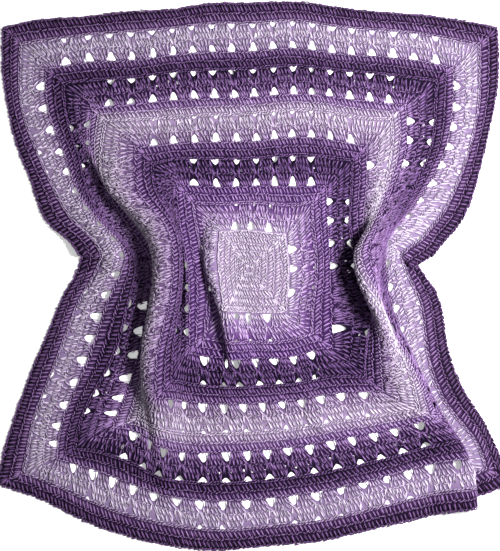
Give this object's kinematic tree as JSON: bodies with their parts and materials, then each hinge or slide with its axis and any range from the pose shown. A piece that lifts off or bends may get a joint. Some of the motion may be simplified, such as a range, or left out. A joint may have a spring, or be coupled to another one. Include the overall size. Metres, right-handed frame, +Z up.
{
  "type": "crochet blanket",
  "caption": "Square blanket crocheted in rounds, solid rows and shell openwork in shaded purple yarn, lying loose with gathered folds across its waist.",
  "frame": {"origin": "on the surface that the blanket lies on, under the middle of its outline", "axes": "+X across the gathered waist to the right, +Y towards the top edge, +Z up from the surface"},
  "size_m": [0.7696, 0.8207, 0.0558],
  "materials": {
    "yarn": "matt spun yarn, shaded from pale lilac to dark purple from round to round"
  },
  "bodies": {
    "root": {"blanket": "yarn"}
  },
  "joints": []
}
